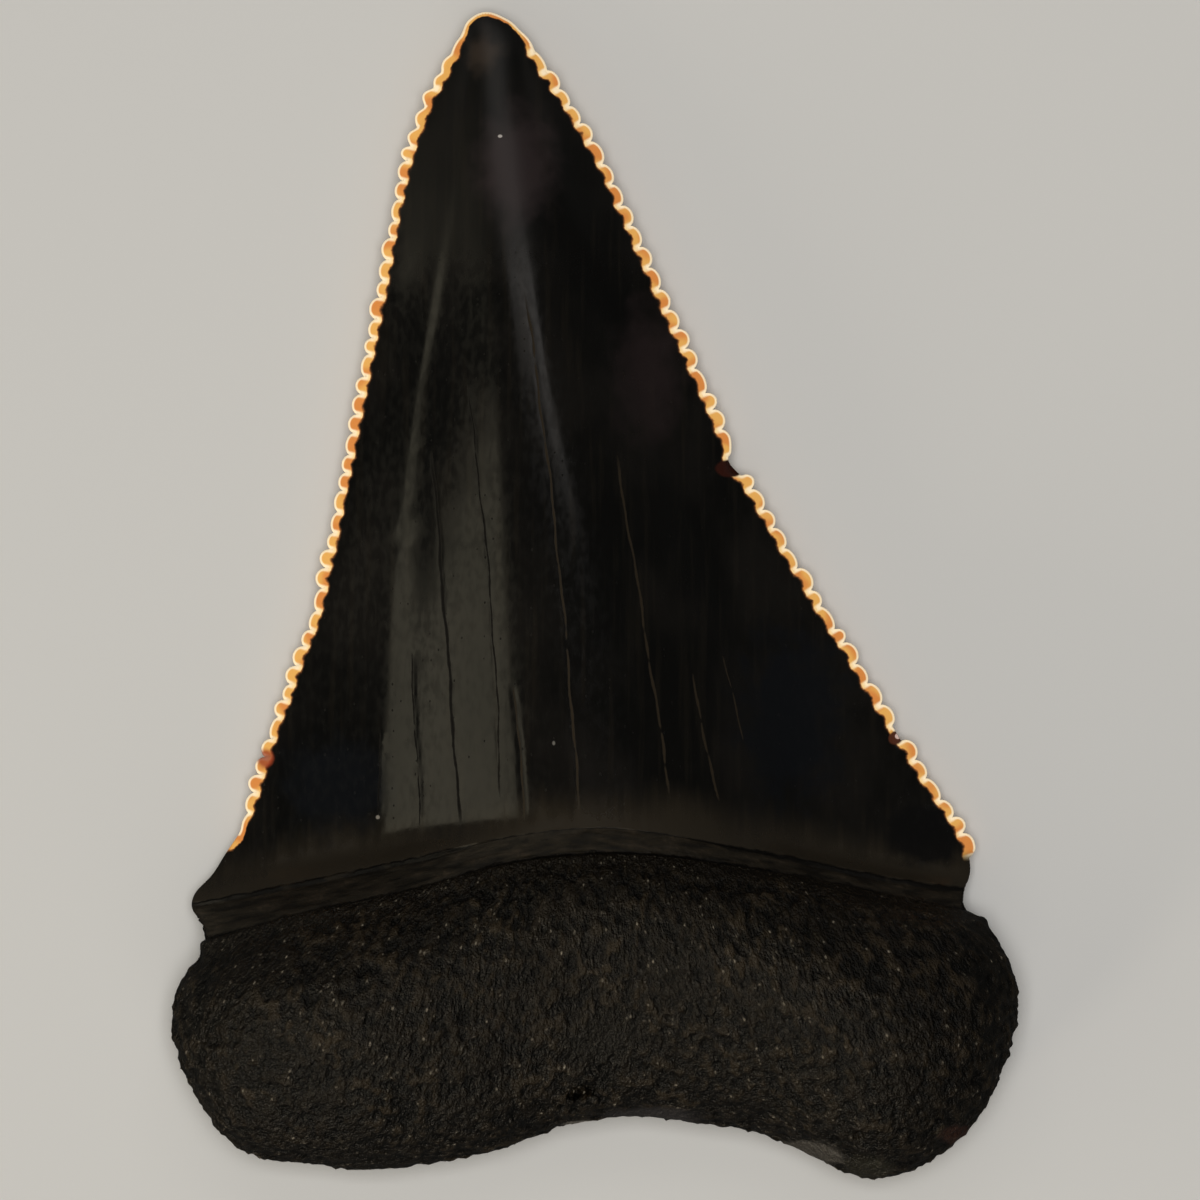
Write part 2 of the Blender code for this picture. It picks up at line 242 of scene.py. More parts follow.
# %% [markdown]
# ## Edges that must stay sharp
#
# A subdivision surface rounds everything. On the real tooth three things stay
# crisp: the enamel's foot, the thin cutting edge, and the sharp notch between
# two serrations. Edge creases keep the first two. A notch is a single point
# seen from above, so it takes a vertex crease, which pins it. They are found by
# measuring: a notch is where the cutting edge lies further in than on both sides.

# %% Creases
RIM_STEP = 0.45
RIM_LEAN = 0.35
NOTCH_DEPTH = 0.03
UPRIGHT = 0.7
NEAR_LINE = 0.14
UPWARD = 0.2


def choose(piece, kind, wanted):
    """Select only the wanted vertices, edges or faces of a piece, and stay in edit mode."""
    alone(piece)
    bpy.ops.object.mode_set(mode="EDIT")
    bpy.ops.mesh.select_mode(type=kind)
    bpy.ops.mesh.select_all(action="DESELECT")
    bpy.ops.object.mode_set(mode="OBJECT")
    parts = {"VERT": piece.data.vertices, "EDGE": piece.data.edges,
             "FACE": piece.data.polygons}[kind]
    parts.foreach_set("select", np.isin(np.arange(len(parts)), list(wanted)))
    bpy.ops.object.mode_set(mode="EDIT")


def measure(piece):
    """Place and direction of every vertex, the places in millimetres."""
    count = len(piece.data.vertices)
    spots, ups = np.empty(count * 3), np.empty(count * 3)
    piece.data.vertices.foreach_get("co", spots)
    piece.data.vertex_normals.foreach_get("vector", ups)
    return spots.reshape(count, 3) / MM, ups.reshape(count, 3)


def find_rim(piece):
    """Edges along the cutting edge, vertices to pin in its notches, and the middle ones."""
    bm = bmesh.new()
    bm.from_mesh(piece.data)
    blade = {vertex for vertex in bm.verts
             if abs(vertex.normal.z) < RIM_LEAN and vertex.co.y > foot_line[-1][1] * MM}
    along = {edge for vertex in blade for edge in vertex.link_edges
             if edge.other_vert(vertex) in blade and edge.calc_length() < RIM_STEP * MM}
    notches, middles = set(), set()
    for vertex in blade:
        beside = [edge.other_vert(vertex) for edge in vertex.link_edges if edge in along]
        if len(beside) == 2:
            out = Vector((vertex.normal.x, vertex.normal.y, 0)).normalized()
            if ((beside[0].co + beside[1].co) / 2 - vertex.co).dot(out) > NOTCH_DEPTH * MM:
                ends = [(edge.other_vert(vertex), edge.calc_length()) for edge in vertex.link_edges]
                notches |= {end.index for end, length in ends
                            if abs(end.co.z - vertex.co.z) > UPRIGHT * length}
                middles.add(vertex.index)
    found = {edge.index for edge in along}, notches | middles, middles
    bm.free()
    return found


def snap_to_line(piece, line):
    """Moves the vertices of the upper side that lie near a line onto it, and returns its edges."""
    spots, ups = measure(piece)
    near = (distance_to(line, spots) < NEAR_LINE) & (ups[:, 2] > UPWARD)
    for index in np.flatnonzero(near):
        gaps = np.linalg.norm(line - spots[index, :2], axis=1)
        first, second = line[np.argsort(gaps)[:2]]
        along = second - first
        share = np.clip((spots[index, :2] - first) @ along / (along @ along), 0, 1)
        spots[index, :2] = first + share * along
    piece.data.vertices.foreach_set("co", (spots * MM).ravel())
    return {edge.index for edge in piece.data.edges
            if near[edge.vertices[0]] and near[edge.vertices[1]]}


foot_edges = snap_to_line(tooth, foot_line)
rim_edges, notches, notch_middles = find_rim(tooth)
choose(tooth, "EDGE", rim_edges | foot_edges)
bpy.ops.transform.edge_crease(value=1)
choose(tooth, "VERT", notches)
bpy.ops.transform.vert_crease(value=1)
bpy.ops.object.mode_set(mode="OBJECT")
notch_places = measure(tooth)[0][sorted(notch_middles)][:, :2]
print("edges along the cutting edge:", len(rim_edges), "pinned in notches:", len(notches),
      "edges on the foot:", len(foot_edges))

# %% [markdown]
# ## Where the cracks run
#
# Long fine cracks run down the enamel. Each is a straight line from a top to a
# bottom, with a slight bow to one side and two small waves on it, so that a few
# numbers say where it goes. The mesh needs to know them before it is refined,
# and the relief and the finish read the same numbers later.

# %% Cracks in the enamel: top, bottom, bow and width
CRACKS = (
    ((-6.38, 10.8), (-4.63, -10.2), 0.35, 0.065),
    ((-8.13, 7.6), (-6.63, -11.6), 0.05, 0.11),
    ((-3.48, 15.3), (-0.73, -11.0), 0.30, 0.08),
    ((1.02, 7.3), (3.77, -10.2), 0.05, 0.09),
    ((4.77, -3.7), (6.12, -10.2), 0.0, 0.08),
    ((6.37, -2.9), (7.37, -7.2), 0.0, 0.05),
    ((-9.13, -2.7), (-8.63, -11.6), 0.0, 0.055),
    ((-3.98, -4.2), (-3.38, -11.1), 0.0, 0.06),
    ((-10.73, -6.7), (-10.73, -11.0), 0.0, 0.05),
)
WAVES = ((0.04, 0.9, 1.0), (0.02, 2.7, 2.3))


def beside_crack(crack, spots):
    """Distance from a crack in millimetres, and the share of the way down it."""
    top, bottom, bow, _ = crack
    share = (top[1] - spots[:, 1]) / (top[1] - bottom[1])
    middle = top[0] + (bottom[0] - top[0]) * share + 4 * bow * share * (1 - share)
    for height, pace, turn in WAVES:
        middle += height * np.sin(pace * spots[:, 1] + turn * top[0])
    return np.abs(spots[:, 0] - middle), share


print("cracks in the enamel:", len(CRACKS))

# %% [markdown]
# ## Smooth, and finer where there is relief
#
# One subdivision comes first. Then only the faces that will carry fine relief
# are cut once more in edit mode, the root and neck of the upper face and the
# strips along the cracks, and a second subdivision smooths it all. The nearly
# flat enamel underneath is thinned out again. That spends the faces where they
# show.

# %% Smooth and refine
CRACK_STRIP = 0.5
FINE_ABOVE_FOOT = 0.5
PLAIN_ABOVE = -13.0
PLAIN_SHARE = 0.3
DOWNWARD = -0.5


def subdivide(piece):
    alone(piece)
    smoother = piece.modifiers.new("smooth", "SUBSURF")
    smoother.levels = smoother.render_levels = 1
    bpy.ops.object.modifier_apply(modifier=smoother.name)


def face_middles(piece):
    count = len(piece.data.polygons)
    middles, ups = np.empty(count * 3), np.empty(count * 3)
    piece.data.polygons.foreach_get("center", middles)
    piece.data.polygons.foreach_get("normal", ups)
    return middles.reshape(count, 3) / MM, ups.reshape(count, 3)


subdivide(tooth)
middles, ups = face_middles(tooth)
rough = (above(foot_line, middles) < FINE_ABOVE_FOOT) & (ups[:, 2] > 0)
for crack in CRACKS:
    gap, share = beside_crack(crack, middles)
    rough |= (gap < CRACK_STRIP) & (share > 0) & (share < 1) & (ups[:, 2] > 0)
choose(tooth, "FACE", np.flatnonzero(rough))
bpy.ops.mesh.subdivide(number_cuts=1)
bpy.ops.object.mode_set(mode="OBJECT")
subdivide(tooth)
middles, ups = face_middles(tooth)
plain = (ups[:, 2] < DOWNWARD) & (middles[:, 1] > PLAIN_ABOVE)
choose(tooth, "FACE", np.flatnonzero(plain))
bpy.ops.mesh.decimate(ratio=PLAIN_SHARE)
bpy.ops.object.mode_set(mode="OBJECT")
tooth.data.shade_smooth()
print("triangles after smoothing:", sum(len(face.vertices) - 2 for face in tooth.data.polygons))

# %% [markdown]
# ## Round serrations
#
# Each serration of the cutting edge is a small round bead, and two beads meet in
# a sharp notch. The smoothed solid has them a little too shallow and too much
# like a wave. So every vertex near the edge is set against the straight line
# between its two notches: where it stands out, it is lifted to a half ellipse,
# and the shift fades away within a millimetre from the edge.

# %% Swell each serration between its notches
BEAD_GAIN, NOTCH_SINK = 1.35, 0.07
BEAD_FADE = 0.85
NOTCH_PAIR = 1.7
CREASED = 0.9
BLADE_LEAN = 0.6
BLADE_TOP = 3.2
EDGE_END = -13.4
MIDDLE_LINE = ((-14.0, 29.0), (0.6, -5.5))


def ease(low, high, value):
    """0 below low, 1 above high, and a smooth rise between."""
    share = np.clip((value - low) / (high - low), 0, 1)
    return share * share * (3 - 2 * share)


def blade_points(piece):
    """The vertices of the creased row that runs along the very cutting edge."""
    creased = np.empty(len(piece.data.edges))
    piece.data.attributes["crease_edge"].data.foreach_get("value", creased)
    edges = piece.data.edges
    ends = np.unique([edges[index].vertices[:] for index in np.flatnonzero(creased > CREASED)])
    spots, ups = measure(piece)
    low = (spots[ends, 2] < BLADE_TOP) & (spots[ends, 1] > EDGE_END)
    return ends[(np.abs(ups[ends, 2]) < BLADE_LEAN) & low]


def tip_line(y):
    """The middle of the crown at a height, which tells the left edge from the right one."""
    return np.interp(y, *MIDDLE_LINE)


def swell_serrations(piece, notch_spots):
    """Lifts the beads of both edges and returns how many there are."""
    spots, _ = measure(piece)
    blade = blade_points(piece)
    edge_tree = kdtree.KDTree(len(blade))
    for index in blade:
        edge_tree.insert((*spots[index, :2], 0), index)
    edge_tree.balance()
    near = [index for index in range(len(spots)) if spots[index, 1] > EDGE_END
            and edge_tree.find((*spots[index, :2], 0))[2] < BEAD_FADE]
    shift = np.zeros((len(spots), 2))
    beads = 0
    for hand in (-1, 1):
        row = notch_spots[(notch_spots[:, 0] - tip_line(notch_spots[:, 1])) * hand > 0]
        row = row[np.argsort(-row[:, 1])]
        for start, end in zip(row, row[1:]):
            chord = end - start
            length = np.linalg.norm(chord)
            if length > NOTCH_PAIR:
                continue
            chord /= length
            out = np.array([-chord[1], chord[0]]) * hand
            local = spots[near][:, :2] - start
            share, high = local @ chord / length, local @ out
            inside = (share > 0) & (share < 1) & (np.abs(high) < BEAD_FADE)
            crest = high[inside].max() * BEAD_GAIN
            full = crest * np.sqrt(np.clip(4 * share * (1 - share), 0, 1))
            now = crest / BEAD_GAIN * np.sin(np.pi * np.clip(share, 0, 1))
            fade = 1 - ease(0, BEAD_FADE, np.maximum(now - high, 0))
            amount = np.where(inside, (full - now - NOTCH_SINK) * fade, 0)
            shift[near] += amount[:, None] * out
            beads += 1
    spots[:, :2] += shift
    piece.data.vertices.foreach_set("co", (spots * MM).ravel())
    piece.data.update()
    return beads


notch_spots = np.unique(np.round(notch_places, 2), axis=0)
print("serrations:", swell_serrations(tooth, notch_spots))

# %% [markdown]
# ## How far is every place from the lines?
#
# Relief and colour follow a few measures in millimetres: the height above the
# foot of the enamel, the height above the ledge where the root begins, the
# distance from the cutting edge, how far inside the row of notches a place is,
# and how far to the side of the next notch. They are measured on the smoothed
# mesh, once, and kept as attributes, so that the finish can draw sharp lines
# between the vertices. The outer face has no neck band: there the first two
# lines are one, a little further down.

# %% Measure distances and keep them on the mesh
OUTER_DROP = 2.4
OUTER_REACH = 20.0
FAR = 9.0


def keep(piece, name, values):
    attribute = piece.data.attributes.new(name, "FLOAT", "POINT")
    attribute.data.foreach_set("value", values.astype(np.float32))


def from_points(points, spots):
    """Distance in plan from the nearest of some points, counted up to FAR."""
    tree = kdtree.KDTree(len(points))
    for index, point in enumerate(points):
        tree.insert((point[0], point[1], 0), index)
    tree.balance()
    gaps = [tree.find((x, y, 0))[2] if y > EDGE_END - FAR else FAR for x, y, z in spots.tolist()]
    return np.minimum(gaps, FAR)


def from_notch_row(row_spots, notch, spots):
    """How far inside the row of notches each spot is, and how far to the side of the next notch."""
    inside = np.full(len(spots), FAR)
    for hand in (-1, 1):
        row = row_spots[(row_spots[:, 0] - tip_line(row_spots[:, 1])) * hand > 0]
        row = row[np.argsort(row[:, 1])]
        there = (spots[:, 0] - tip_line(spots[:, 1])) * hand > 0
        line = np.interp(spots[there, 1], row[:, 1], row[:, 0])
        slope = np.interp(spots[there, 1], row[:, 1], np.gradient(row[:, 0], row[:, 1]))
        inside[there] = (line - spots[there, 0]) * hand / np.hypot(1, slope)
    inside = np.clip(inside, -FAR, FAR)
    return inside, np.sqrt(np.maximum(notch ** 2 - inside ** 2, 0))


spots, ups = measure(tooth)
inner = ups[:, 2] > 0
drop = OUTER_DROP * (1 - (foot_line[:, 0] / OUTER_REACH) ** 2).clip(0)
outer_line = np.column_stack([foot_line[:, 0], foot_line[:, 1] - drop])
outer_height = above(outer_line, spots)
foot = np.where(inner, above(foot_line, spots), outer_height)
ledge = np.where(inner, above(root_line, spots), outer_height)
edge = from_points(spots[blade_points(tooth)], spots)
notch = from_points(notch_spots, spots)
inside_row, beside_notch = from_notch_row(notch_spots, notch, spots)
keep(tooth, "foot", foot)
keep(tooth, "ledge", ledge)
keep(tooth, "edge", edge)
keep(tooth, "row", inside_row)
keep(tooth, "beside", beside_notch)
print("vertices:", len(spots), "of the root:", int((ledge < 0).sum()),
      "within 1 mm of the edge:", int((edge < 1).sum()))

# %% [markdown]
# ## Relief: worked in with small tools
#
# In sculpt mode a maker would pull the surface in and out along its own
# direction with a brush. Here each stroke is a formula: how far to move a vertex
# along its normal, from its distance to a line or from a random field. Perlin
# noise gives soft lumps. The root's bone fibres fan out from a point far up in
# the crown, so its grain is noise stretched along that fan.

# %% Brushes
FAN_CENTRE = (0.0, 9.0)
FAN_RADIUS = 30.0
LUMP_SHIFT, PIT_SHIFT = np.array([17.3, 5.1, 9.7]), np.array([3.3, 8.9, 1.7])
LUMP_ROUGH, LUMP_STEP = 0.6, 2.0
PIT_FLOOR, PIT_RIM = 0.12, 0.42
DAB_FLAT = 0.2


def lumps(places, size, seed, octaves=2):
    """Soft random lumps of a size in millimetres, from about -1 to 1."""
    steps = (places / size + LUMP_SHIFT * seed).tolist()
    return np.array([noise.fractal(step, LUMP_ROUGH, LUMP_STEP, octaves) for step in steps])


def pits(places, size, seed):
    """Round hollows, 1 in their middle, one in each random cell of a size."""
    steps = (places / size + PIT_SHIFT * seed).tolist()
    return 1 - ease(PIT_FLOOR, PIT_RIM, np.array([noise.voronoi(step)[0][0] for step in steps]))


def fan(places):
    """Places counted across and along the fan of fibres."""
    right, down = places[:, 0] - FAN_CENTRE[0], FAN_CENTRE[1] - places[:, 1]
    across = np.arctan2(right, down) * FAN_RADIUS
    return np.column_stack([across, np.hypot(right, down), places[:, 2]])


def stroke(line, width):
    """How deep a narrow stroke along a line presses, 1 in its middle, on the upper face."""
    return np.exp(-(distance_to(np.array(line), spots) / width) ** 2) * inner


def dab(centre, reach):
    """A round press of a brush, 1 in its middle and 0 past its reach, on the upper face."""
    gap = np.linalg.norm((spots[:, :2] - centre) / reach, axis=1)
    return (1 - ease(DAB_FLAT, 1, gap)) * inner


def push(piece, amount):
    """Moves every vertex along its direction by an amount in millimetres."""
    now, away = measure(piece)
    piece.data.vertices.foreach_set("co", ((now + away * amount[:, None]) * MM).ravel())
    piece.data.update()


print("brushes are ready; longest fibre:", round(float(fan(spots[ledge < 0])[:, 1].max()), 1), "mm")

# %% [markdown]
# ## Neck and foot of the enamel
#
# The enamel is a thin coat that stops at a small step, with a hairline gap along
# it. The neck band under it is smooth and a little wrinkled along its length.
# Then the root swells up over a low uneven lip. The step needs no extra edges,
# because a creased row of vertices already runs along the line.

# %% Step, band and lip
COAT, COAT_EDGE = 0.13, 0.12
BAND_FROM, BAND_TO = -0.15, 0.05
GAP_DEPTH, GAP_WIDTH = 0.05, 0.09
WRINKLE, WRINKLE_LENGTH, WRINKLE_WIDTH = 0.035, 1.6, 0.28
LIP_HEIGHT, LIP_PLACE, LIP_WIDTH = 0.11, 0.32, 0.24
LIP_CUT, LIP_CUT_WIDTH = 0.08, 0.1
LIP_WANDER, LIP_LUMP = 0.9, 0.9

flat = np.zeros(len(spots))
band = ease(0, COAT_EDGE, -foot) * ease(BAND_FROM, BAND_TO, ledge) * inner
neck = -COAT * band
neck -= GAP_DEPTH * np.exp(-((foot + GAP_WIDTH) / GAP_WIDTH) ** 2) * inner
along_neck = np.column_stack([spots[:, 0] / WRINKLE_LENGTH, foot / WRINKLE_WIDTH, flat])
neck += WRINKLE * lumps(along_neck, 1.0, 1, 3) * band
ragged = 1 + LIP_WANDER * lumps(np.column_stack([spots[:, 0], flat, flat]), LIP_LUMP, 2)
neck += LIP_HEIGHT * ragged * np.exp(-((ledge + LIP_PLACE) / LIP_WIDTH) ** 2) * inner
neck -= LIP_CUT * ragged * np.exp(-(ledge / LIP_CUT_WIDTH) ** 2) * inner
push(tooth, neck)
print("deepest part of the neck:", round(float(-neck.min()), 2), "mm")

# %% [markdown]
# ## Porous root
#
# Old bone without enamel is rough at three scales: broad lumps, a grain of
# fibres a third of a millimetre wide, and open pores. The grain is strongest on
# the lobes and worn nearly smooth in a few places, over the arch and in a smear
# above it.

# %% Grain, lumps and pores of the root
GRAIN, GRAIN_SIZE = 0.14, np.array([0.36, 0.75, 0.6])
LUMP, LUMP_SIZE = 0.05, 0.7
SWELL, SWELL_SIZE = 0.09, 3.5
PORE, PORE_SIZE = 0.12, np.array([0.9, 1.2, 1.0])
PORE_FIELD = 2.5
ROUGH_FROM, ROUGH_TO = 0.1, 1.2
# Each worn place has a middle, a reach and the share of the grain that is gone.
WORN = (
    ((0.3, -21.7), (2.4, 1.7), 0.55),
    ((2.9, -25.9), (3.2, 0.9), 0.75),
    ((-11.0, -28.3), (5.0, 0.9), 0.5),
    ((9.9, -27.6), (2.0, 0.8), 0.8),
    ((-17.0, -18.4), (3.6, 1.6), 0.45),
)

rough = ease(ROUGH_FROM, ROUGH_TO, -ledge)
for centre, reach, share in WORN:
    rough = rough * (1 - share * dab(centre, reach))
on_root = np.flatnonzero(ledge < 0)
root_spots = spots[on_root]
fibres = fan(root_spots)
grain, open_pores, swell = flat.copy(), flat.copy(), flat.copy()
grain[on_root] = GRAIN * lumps(fibres, GRAIN_SIZE, 3) + LUMP * lumps(root_spots, LUMP_SIZE, 4)
many = ease(-0.1, 0.25, lumps(root_spots, PORE_FIELD, 6))
open_pores[on_root] = pits(fibres, PORE_SIZE, 5) * many
swell[on_root] = SWELL * lumps(root_spots, SWELL_SIZE, 7)
relief = (grain - PORE * open_pores) * rough
push(tooth, relief + swell * ease(0, 2.5, -ledge))
keep(tooth, "relief", relief)
print("root relief from", round(float(relief.min()), 2), "to", round(float(relief.max()), 2), "mm")

# %% [markdown]
# ## Marks of its own
#
# What makes this tooth this tooth: a short crease on the left lobe, curled folds
# beside the nutrient hole, a cracked edge and a pinhole on the right lobe, the
# chip in the right cutting edge, and the long cracks of the enamel.

# %% Creases, folds, chips and cracks
# A stroke has its line, its width and its depth. A dab has its middle, its reach
# and its depth, and a depth below zero raises the surface.
STROKES = (
    (((-19.7, -22.0), (-17.8, -21.8), (-17.4, -20.9)), 0.2, 0.16),
    (((-3.1, -24.4), (-2.2, -24.6), (-1.5, -25.4)), 0.13, 0.13),
    (((-3.6, -25.0), (-2.5, -25.1), (-1.7, -26.0)), 0.13, 0.13),
    (((-4.0, -25.7), (-2.8, -25.6), (-1.9, -26.5)), 0.13, 0.12),
    (((9.0, -26.9), (11.3, -27.4), (13.8, -27.9)), 0.16, 0.2),
    (((4.2, -13.9), (6.0, -14.1), (8.0, -14.3)), 0.2, 0.12),
)
DABS = (
    ((13.0, -26.6), (0.35, 0.35), 0.4),
    ((10.7, -27.7), (1.7, 0.8), 0.16),
    ((7.1, 6.5), (0.6, 0.6), 0.14),
    ((15.1, -7.1), (0.45, 0.45), 0.1),
    ((-17.4, -21.2), (1.4, 0.8), -0.12),
)
CRACK_DEPTH, CRACK_HALF = 0.03, 0.08

marks = -sum(depth * stroke(line, width) for line, width, depth in STROKES)
marks -= sum(depth * dab(centre, reach) for centre, reach, depth in DABS)
for crack in CRACKS:
    gap, share = beside_crack(crack, spots)
    between = ease(0, 0.1, share) * (1 - ease(0.9, 1, share))
    marks -= CRACK_DEPTH * np.exp(-(gap / CRACK_HALF) ** 2) * between * inner * ease(0, 0.3, foot)
push(tooth, marks)
print("deepest mark:", round(float(-marks.min()), 2), "mm")

# %% [markdown]
# ## Node trees, written short
#
# A finish is a tree of nodes. In the editor each one is dropped in and wired by
# hand. Here a few helpers do the same: one puts a node in and feeds its sockets
# with plain values or wires, and the others name what a maker would ask for,
# such as a smooth rise, a blend of two colours or a stretched noise.

# %% Helpers for nodes
def feed(tree, socket, value):
    if isinstance(value, bpy.types.NodeSocket):
        tree.links.new(value, socket)
    else:
        socket.default_value = value


def put(tree, kind, inlets, **settings):
    node = tree.nodes.new(kind)
    for name, value in settings.items():
        setattr(node, name, value)
    for key, value in inlets.items():
        feed(tree, node.inputs[key], value)
    return node


def reckon(tree, operation, *values):
    return put(tree, "ShaderNodeMath", dict(enumerate(values)), operation=operation).outputs[0]


def rise(tree, value, low, high):
    """0 below low, 1 above high."""
    inlets = {"Value": value, "From Min": low, "From Max": high}
    node = put(tree, "ShaderNodeMapRange", inlets, interpolation_type="SMOOTHSTEP")
    return node.outputs["Result"]


def fall(tree, value, low, high):
    return reckon(tree, "SUBTRACT", 1, rise(tree, value, low, high))


def both(tree, *masks):
    product = masks[0]
    for mask in masks[1:]:
        product = reckon(tree, "MULTIPLY", product, mask)
    return product


def blend(tree, share, below, above_it):
    first, second = ((*colour, 1) if isinstance(colour, tuple) else colour
                     for colour in (below, above_it))
    return put(tree, "ShaderNodeMix", {0: share, 6: first, 7: second}, data_type="RGBA").outputs[2]


def between_values(tree, share, below, above_it):
    inlets = {0: share, 2: below, 3: above_it}
    return put(tree, "ShaderNodeMix", inlets, data_type="FLOAT").outputs[0]


def vectors(tree, operation, *values):
    inlets = dict(enumerate(values))
    return put(tree, "ShaderNodeVectorMath", inlets, operation=operation).outputs


def cloud(tree, place, pace, detail):
    """Noise, 0 to 1, with the given number of waves per millimetre along each axis."""
    laid = put(tree, "ShaderNodeMapping", {"Vector": place, "Scale": pace}).outputs[0]
    inlets = {"Vector": laid, "Scale": 1.0, "Detail": detail}
    return put(tree, "ShaderNodeTexNoise", inlets).outputs["Fac"]


def new_group(name, inlets, outlets):
    """An empty node group. Returns its tree, what comes in and what goes out."""
    tree = bpy.data.node_groups.new(name, "ShaderNodeTree")
    for way, sockets in (("INPUT", inlets), ("OUTPUT", outlets)):
        for label, kind in sockets.items():
            tree.interface.new_socket(name=label, in_out=way, socket_type="NodeSocket" + kind)
    return tree, tree.nodes.new("NodeGroupInput").outputs, tree.nodes.new("NodeGroupOutput").inputs


def use(tree, group, inlets):
    node = put(tree, "ShaderNodeGroup", {}, node_tree=group)
    for key, value in inlets.items():
        feed(tree, node.inputs[key], value)
    return node.outputs


def parts_of(tree, place):
    return put(tree, "ShaderNodeSeparateXYZ", {"Vector": place}).outputs


print("helpers are ready")

# %% [markdown]
# ## Hairline cracks
#
# The relief already has a shallow groove for every crack. The dark or tan line
# in it is thinner than a vertex can hold, so the group works it out from the
# same sums as the groove: along a straight line with a slight bow and two small
# waves. Two noises from outside vary its width and break it here and there, so
# that they are worked out once and not once for each crack.

# %% Group: hairline crack
JITTER = 0.06


def crack_group():
    inlets = {"Place": "Vector", "Top": "Vector", "Bottom": "Vector", "Bow": "Float",
              "Width": "Float", "Jitter": "Float", "Swell": "Float"}
    tree, come, go = new_group("hairline crack", inlets, {"Mask": "Float"})
    place, top, bottom = (parts_of(tree, come[label]) for label in ("Place", "Top", "Bottom"))
    share = reckon(tree, "DIVIDE", reckon(tree, "SUBTRACT", top[1], place[1]),
                   reckon(tree, "SUBTRACT", top[1], bottom[1]))
    lean = reckon(tree, "SUBTRACT", bottom[0], top[0])
    middle = reckon(tree, "MULTIPLY_ADD", lean, share, top[0])
    arch = both(tree, share, reckon(tree, "SUBTRACT", 1, share), come["Bow"])
    middle = reckon(tree, "MULTIPLY_ADD", arch, 4, middle)
    for height, pace, turn in WAVES:
        angle = reckon(tree, "MULTIPLY_ADD", place[1], pace, reckon(tree, "MULTIPLY", top[0], turn))
        middle = reckon(tree, "MULTIPLY_ADD", reckon(tree, "SINE", angle), height, middle)
    gap = reckon(tree, "ABSOLUTE", reckon(tree, "SUBTRACT", place[0], middle))
    jitter = reckon(tree, "MULTIPLY_ADD", come["Jitter"], JITTER, -JITTER / 2)
    wide = both(tree, come["Width"], reckon(tree, "MULTIPLY_ADD", come["Swell"], 1.6, 0.1))
    line = fall(tree, reckon(tree, "ADD", gap, jitter), reckon(tree, "MULTIPLY", wide, 0.25), wide)
    ends = both(tree, rise(tree, share, 0, 0.08), fall(tree, share, 0.93, 1))
    feed(tree, go["Mask"], both(tree, line, ends, rise(tree, come["Swell"], 0.3, 0.4)))
    return tree


hairline = crack_group()
print("nodes in the hairline crack:", len(hairline.nodes))

# %% [markdown]
# ## Ragged spots
#
# Stains, blotches, chips, paler zones and patches of painted sheen, highlight and
# shade all are one thing: a spot of a place and a size whose border is frayed by
# noise. One group makes them all.

# %% Group: ragged spot
def spot_group():
    inlets = {"Place": "Vector", "Middle": "Vector", "Reach": "Vector", "Fray": "Float",
              "Softness": "Float", "Cloud": "Float"}
    tree, come, go = new_group("ragged spot", inlets, {"Mask": "Float"})
    off = vectors(tree, "SUBTRACT", come["Place"], come["Middle"])[0]
    off = vectors(tree, "DIVIDE", off, come["Reach"])[0]
    off = vectors(tree, "MULTIPLY", off, (1, 1, 0))[0]
    far = vectors(tree, "LENGTH", off)["Value"]
    uneven = reckon(tree, "SUBTRACT", come["Cloud"], 0.5)
    frayed = reckon(tree, "MULTIPLY_ADD", uneven, come["Fray"], far)
    feed(tree, go["Mask"], fall(tree, frayed, reckon(tree, "SUBTRACT", 1, come["Softness"]), 1))
    return tree


spot = spot_group()
print("nodes in the ragged spot:", len(spot.nodes))

# %% [markdown]
# ## Cutting edge
#
# The photo lights the tooth from behind, and its thin edges glow: cream at the
# very rim and into the notches, ochre or orange in the heart of each serration,
# then brown and suddenly black. The glow gets thin towards the tip. Real light
# through enamel would need the lamp behind the tooth. Here the colour follows
# the distance from the edge and from the row of notches, and a mild emission of
# the same colours keeps it bright, so that it stays right in every light and in
# the exported model.

# %% Group: cutting edge
RIBBON, RIBBON_FADE = 0.57, 0.12
BEADS_BELOW = (24.6, 25.6)
BEAD_SHARE, BEAD_DEPTH = 0.5, 0.3
THIN_TIP, THIN_LEFT_END, THIN_SHARE = (26.5, 28.5), (-11.9, -10.6), 0.45
DRIFT, FINE_DRIFT = 0.175, 0.16
RIM_LINE, NOTCH_LINE = (0.06, 0.15), (0.08, 0.24)
PALE_FROM, GLOW_RED_BROWN_FROM, BROWN_FROM = (0.2, 0.42), (0.40, 0.47), (0.45, 0.52)
GLOW_END = (0.42, 0.5)
# The ribbon's cream, ochre, orange and red-brown are painted light shining through the thin enamel,
# laid over the edge's own paler tone, and the emission of the same colours is a painted glow.
EDGE_GLOW_CREAM, EDGE_GLOW_PALE = (0.95, 0.78, 0.52), (0.90, 0.62, 0.28)
EDGE_GLOW_OCHRE, EDGE_GLOW_ORANGE = (0.72, 0.37, 0.09), (0.62, 0.22, 0.05)
EDGE_GLOW_RED_BROWN, EDGE_BROWN = (0.26, 0.09, 0.024), (0.05, 0.02, 0.008)


